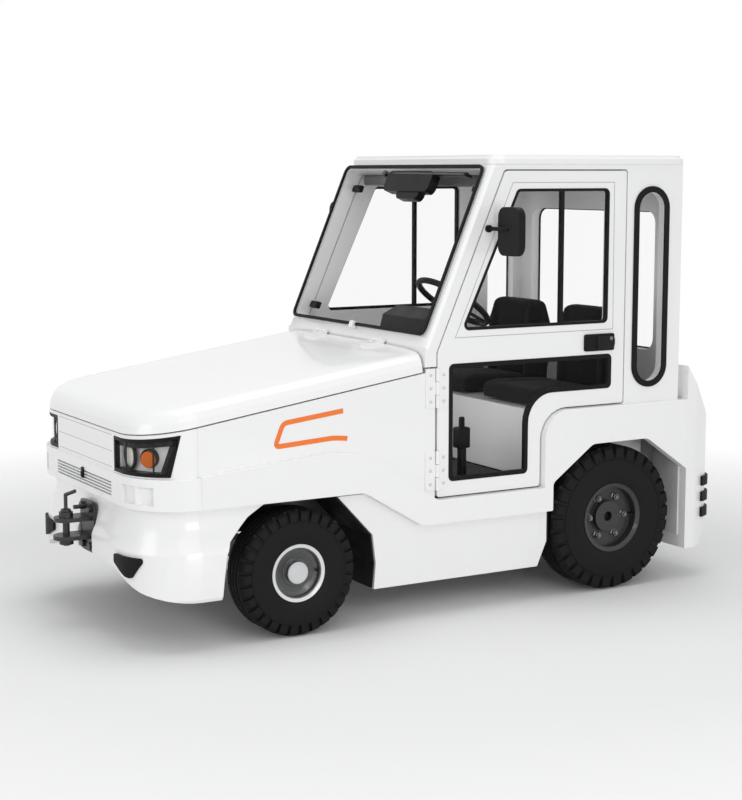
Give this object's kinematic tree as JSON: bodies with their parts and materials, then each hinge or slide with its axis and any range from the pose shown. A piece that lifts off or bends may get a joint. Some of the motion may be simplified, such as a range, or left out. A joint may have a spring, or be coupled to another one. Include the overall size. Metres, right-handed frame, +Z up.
{
  "type": "electric airport baggage tug",
  "caption": "White electric airport tow tractor with a closed two-seat cab, sloping bonnet, steered front wheels and towing jaws at both ends.",
  "frame": {"origin": "middle of the bounding box on the ground", "axes": "+X forward, +Y to the driver's left, +Z up"},
  "size_m": [3.264, 1.682, 2.011],
  "materials": {
    "body_paint": "gloss white",
    "black_steel": "satin black",
    "floor_mat": "matt",
    "rubber": "matt",
    "black_plastic": "fine grain",
    "lamp_glass": "clear",
    "lamp_chrome": "polished",
    "amber": "clear amber",
    "red_lens": "clear red",
    "battery_case": "satin",
    "glass": "clear",
    "grey_trim": "fine grain",
    "seat_cloth": "woven",
    "tyre": "matt",
    "silver_rim": "silver",
    "dark_rim": "satin grey"
  },
  "bodies": {
    "chassis": {"frame_rails": "black_steel", "floor_pan": "floor_mat", "front_bumper": "body_paint", "nose_panel": "body_paint", "side_body_left": "body_paint", "side_body_right": "body_paint", "skirts": "body_paint", "wheel_liners": "black_plastic", "tail_body": "body_paint", "rubber_buffers": "rubber", "headlamp_bezels": "black_plastic", "headlamp_lenses": "lamp_glass", "headlamps": "lamp_chrome", "indicators": "amber", "tail_lamps": "red_lens", "battery_block": "battery_case", "cab_frame": "body_paint", "roof": "body_paint", "windscreen": "glass", "cab_windows": "glass", "window_seals": "rubber", "wiper": "black_plastic", "dashboard": "black_plastic", "steering_column": "black_plastic", "seat_box": "grey_trim", "seats": "seat_cloth", "front_hitch": "black_steel", "rear_hitch": "black_steel", "front_axle": "black_steel", "rear_axle": "black_steel"},
    "bonnet": {"bonnet": "body_paint"},
    "door_left": {"door_left": "body_paint", "door_left_glass": "glass", "door_left_trim": "rubber", "mirror_left": "black_plastic"},
    "door_right": {"door_right": "body_paint", "door_right_glass": "glass", "door_right_trim": "rubber", "mirror_right": "black_plastic"},
    "steering_wheel": {"steering_wheel": "black_plastic"},
    "knuckle_left": {"knuckle_left": "black_steel"},
    "knuckle_right": {"knuckle_right": "black_steel"},
    "tie_rod": {"tie_rod": "black_steel"},
    "wheel_front_left": {"tyre_front_left": "tyre", "rim_front_left": "silver_rim"},
    "wheel_front_right": {"tyre_front_right": "tyre", "rim_front_right": "silver_rim"},
    "wheel_rear_left": {"tyre_rear_left": "tyre", "rim_rear_left": "dark_rim"},
    "wheel_rear_right": {"tyre_rear_right": "tyre", "rim_rear_right": "dark_rim"}
  },
  "joints": [
    {"name": "steer_left", "type": "hinge", "parent": "chassis", "child": "knuckle_left", "pos_m": [0.794, 0.464, 0.27], "axis": [0, 0, 1], "range_deg": [-36, 36]},
    {"name": "steer_right", "type": "hinge", "parent": "chassis", "child": "knuckle_right", "pos_m": [0.794, -0.464, 0.27], "axis": [0, 0, 1], "range_deg": [-36, 36]},
    {"name": "tie_rod_swing", "type": "hinge", "parent": "knuckle_left", "child": "tie_rod", "pos_m": [0.644, 0.464, 0.232], "axis": [0, 0, 1], "range_deg": [-36, 36]},
    {"name": "steering_wheel_turn", "type": "hinge", "parent": "chassis", "child": "steering_wheel", "pos_m": [-0.16643, 0.33, 1.35], "axis": [-0.5736, 0, 0.8192], "range_deg": [-540, 540]},
    {"name": "door_left_swing", "type": "hinge", "parent": "chassis", "child": "door_left", "pos_m": [0.114, 0.648, 0.827], "axis": [0, 0, -1], "range_deg": [0, 78]},
    {"name": "door_right_swing", "type": "hinge", "parent": "chassis", "child": "door_right", "pos_m": [0.114, -0.648, 0.827], "axis": [0, 0, 1], "range_deg": [0, 78]},
    {"name": "bonnet_lift", "type": "hinge", "parent": "chassis", "child": "bonnet", "pos_m": [0.185, 0, 1.18958], "axis": [0, -1, 0], "range_deg": [0, 50]},
    {"name": "wheel_front_left_spin", "type": "hinge", "parent": "knuckle_left", "child": "wheel_front_left", "pos_m": [0.794, 0.57, 0.27], "axis": [0, 1, 0], "continuous": true},
    {"name": "wheel_front_right_spin", "type": "hinge", "parent": "knuckle_right", "child": "wheel_front_right", "pos_m": [0.794, -0.57, 0.27], "axis": [0, 1, 0], "continuous": true},
    {"name": "wheel_rear_left_spin", "type": "hinge", "parent": "chassis", "child": "wheel_rear_left", "pos_m": [-0.856, 0.555, 0.338], "axis": [0, 1, 0], "continuous": true},
    {"name": "wheel_rear_right_spin", "type": "hinge", "parent": "chassis", "child": "wheel_rear_right", "pos_m": [-0.856, -0.555, 0.338], "axis": [0, 1, 0], "continuous": true}
  ],
  "couplings": [
    {"joint": "steer_right", "follows": "steer_left", "ratio": 1},
    {"joint": "tie_rod_swing", "follows": "steer_left", "ratio": -1},
    {"joint": "steering_wheel_turn", "follows": "steer_left", "ratio": 15}
  ]
}
